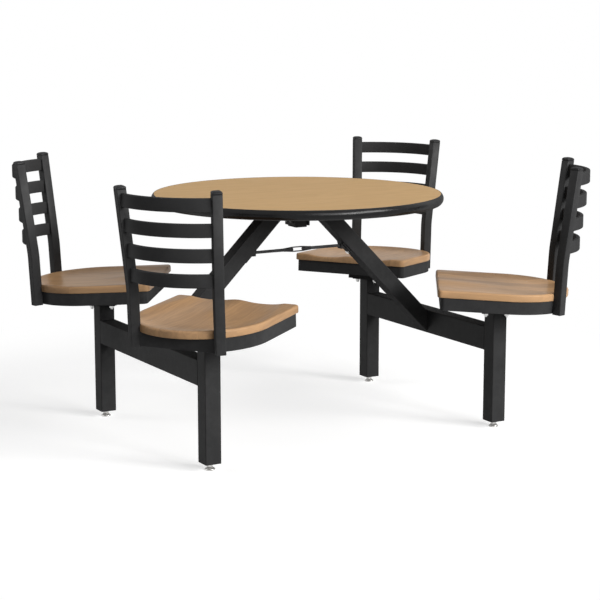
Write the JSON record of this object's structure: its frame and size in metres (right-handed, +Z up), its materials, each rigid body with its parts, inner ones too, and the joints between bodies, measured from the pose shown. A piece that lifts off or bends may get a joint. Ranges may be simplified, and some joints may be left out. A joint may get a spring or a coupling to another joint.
{
  "type": "table with attached swivel seats",
  "caption": "Round dining table on two welded side frames, with a swivelling ladder-back chair carried on each leg and levelling glides under the legs.",
  "frame": {"origin": "on the floor, under the middle of the round table top", "axes": "+Z up; +X across the two side frames, from one beam to the other; +Y along the beams"},
  "size_m": [1.5788, 1.2782, 0.8407],
  "materials": {
    "core_board": "raw board",
    "top_laminate": "light wood grain laminate, satin",
    "backer": "dark backer sheet",
    "edge_moulding": "black vinyl, glossy",
    "black_steel": "black powder coat, fine texture",
    "black_rod": "black finish",
    "zinc": "zinc plated",
    "nickel": "nickel plated",
    "seat_wood": "clear lacquered hardwood",
    "bushing": "nylon, natural"
  },
  "bodies": {
    "side_frames_and_top": {"table_core": "core_board", "top_laminate": "top_laminate", "backer_sheet": "backer", "edge_moulding": "edge_moulding", "left_beam": "black_steel", "right_beam": "black_steel", "left_brace": "black_steel", "right_brace": "black_steel", "left_top_plate": "black_steel", "right_top_plate": "black_steel", "centre_spacer": "black_steel", "centre_bolts": "zinc", "top_screws": "zinc", "left_tie_rod": "black_rod", "right_tie_rod": "black_rod", "rod_anchors": "black_steel", "anchor_bolts": "zinc", "front_left_leg": "black_steel", "front_right_leg": "black_steel", "back_right_leg": "black_steel", "back_left_leg": "black_steel", "leg_plates": "black_steel", "foot_inserts": "zinc", "swivel_bases": "black_steel", "swivel_bushings": "bushing", "spindle_nuts": "zinc", "swivel_bolts": "zinc"},
    "turnbuckle": {"turnbuckle_body": "black_rod"},
    "front_left_chair": {"front_left_seat": "seat_wood", "front_left_seat_frame": "black_steel", "front_left_seat_screws": "zinc", "front_left_swivel_head": "black_steel", "front_left_back_posts": "black_steel", "front_left_back_rails": "black_steel"},
    "front_right_chair": {"front_right_seat": "seat_wood", "front_right_seat_frame": "black_steel", "front_right_seat_screws": "zinc", "front_right_swivel_head": "black_steel", "front_right_back_posts": "black_steel", "front_right_back_rails": "black_steel"},
    "back_right_chair": {"back_right_seat": "seat_wood", "back_right_seat_frame": "black_steel", "back_right_seat_screws": "zinc", "back_right_swivel_head": "black_steel", "back_right_back_posts": "black_steel", "back_right_back_rails": "black_steel"},
    "back_left_chair": {"back_left_seat": "seat_wood", "back_left_seat_frame": "black_steel", "back_left_seat_screws": "zinc", "back_left_swivel_head": "black_steel", "back_left_back_posts": "black_steel", "back_left_back_rails": "black_steel"},
    "front_left_foot": {"front_left_glide_pad": "nickel"},
    "front_left_stem": {"front_left_glide_stem": "nickel"},
    "front_right_foot": {"front_right_glide_pad": "nickel"},
    "front_right_stem": {"front_right_glide_stem": "nickel"},
    "back_right_foot": {"back_right_glide_pad": "nickel"},
    "back_right_stem": {"back_right_glide_stem": "nickel"},
    "back_left_foot": {"back_left_glide_pad": "nickel"},
    "back_left_stem": {"back_left_glide_stem": "nickel"}
  },
  "joints": [
    {"name": "turnbuckle_turn", "type": "hinge", "parent": "side_frames_and_top", "child": "turnbuckle", "pos_m": [0, 0, 0.5575], "axis": [1, 0, 0], "range_deg": [-180, 180]},
    {"name": "front_left_swivel", "type": "hinge", "parent": "side_frames_and_top", "child": "front_left_chair", "pos_m": [-0.5036, -0.3697, 0.4], "axis": [0, 0, 1], "range_deg": [-90, 90]},
    {"name": "front_right_swivel", "type": "hinge", "parent": "side_frames_and_top", "child": "front_right_chair", "pos_m": [0.5036, -0.3697, 0.4], "axis": [0, 0, 1], "range_deg": [-90, 90]},
    {"name": "back_right_swivel", "type": "hinge", "parent": "side_frames_and_top", "child": "back_right_chair", "pos_m": [0.5036, 0.3697, 0.4], "axis": [0, 0, 1], "range_deg": [-90, 90]},
    {"name": "back_left_swivel", "type": "hinge", "parent": "side_frames_and_top", "child": "back_left_chair", "pos_m": [-0.5036, 0.3697, 0.4], "axis": [0, 0, 1], "range_deg": [-90, 90]},
    {"name": "front_left_foot_height", "type": "slide", "parent": "side_frames_and_top", "child": "front_left_foot", "axis": [0, 0, 1], "range_m": [-0.012, 0.004]},
    {"name": "front_left_stem_turn", "type": "hinge", "parent": "front_left_foot", "child": "front_left_stem", "pos_m": [-0.5036, -0.3697, 0.02], "axis": [0, 0, 1], "range_deg": [-2890, 970]},
    {"name": "front_right_foot_height", "type": "slide", "parent": "side_frames_and_top", "child": "front_right_foot", "axis": [0, 0, 1], "range_m": [-0.012, 0.004]},
    {"name": "front_right_stem_turn", "type": "hinge", "parent": "front_right_foot", "child": "front_right_stem", "pos_m": [0.5036, -0.3697, 0.02], "axis": [0, 0, 1], "range_deg": [-2890, 970]},
    {"name": "back_right_foot_height", "type": "slide", "parent": "side_frames_and_top", "child": "back_right_foot", "axis": [0, 0, 1], "range_m": [-0.012, 0.004]},
    {"name": "back_right_stem_turn", "type": "hinge", "parent": "back_right_foot", "child": "back_right_stem", "pos_m": [0.5036, 0.3697, 0.02], "axis": [0, 0, 1], "range_deg": [-2890, 970]},
    {"name": "back_left_foot_height", "type": "slide", "parent": "side_frames_and_top", "child": "back_left_foot", "axis": [0, 0, 1], "range_m": [-0.012, 0.004]},
    {"name": "back_left_stem_turn", "type": "hinge", "parent": "back_left_foot", "child": "back_left_stem", "pos_m": [-0.5036, 0.3697, 0.02], "axis": [0, 0, 1], "range_deg": [-2890, 970]}
  ],
  "couplings": [
    {"joint": "front_left_stem_turn", "follows": "front_left_foot_height", "rad_per_m": 4188.8},
    {"joint": "front_right_stem_turn", "follows": "front_right_foot_height", "rad_per_m": 4188.8},
    {"joint": "back_right_stem_turn", "follows": "back_right_foot_height", "rad_per_m": 4188.8},
    {"joint": "back_left_stem_turn", "follows": "back_left_foot_height", "rad_per_m": 4188.8}
  ]
}
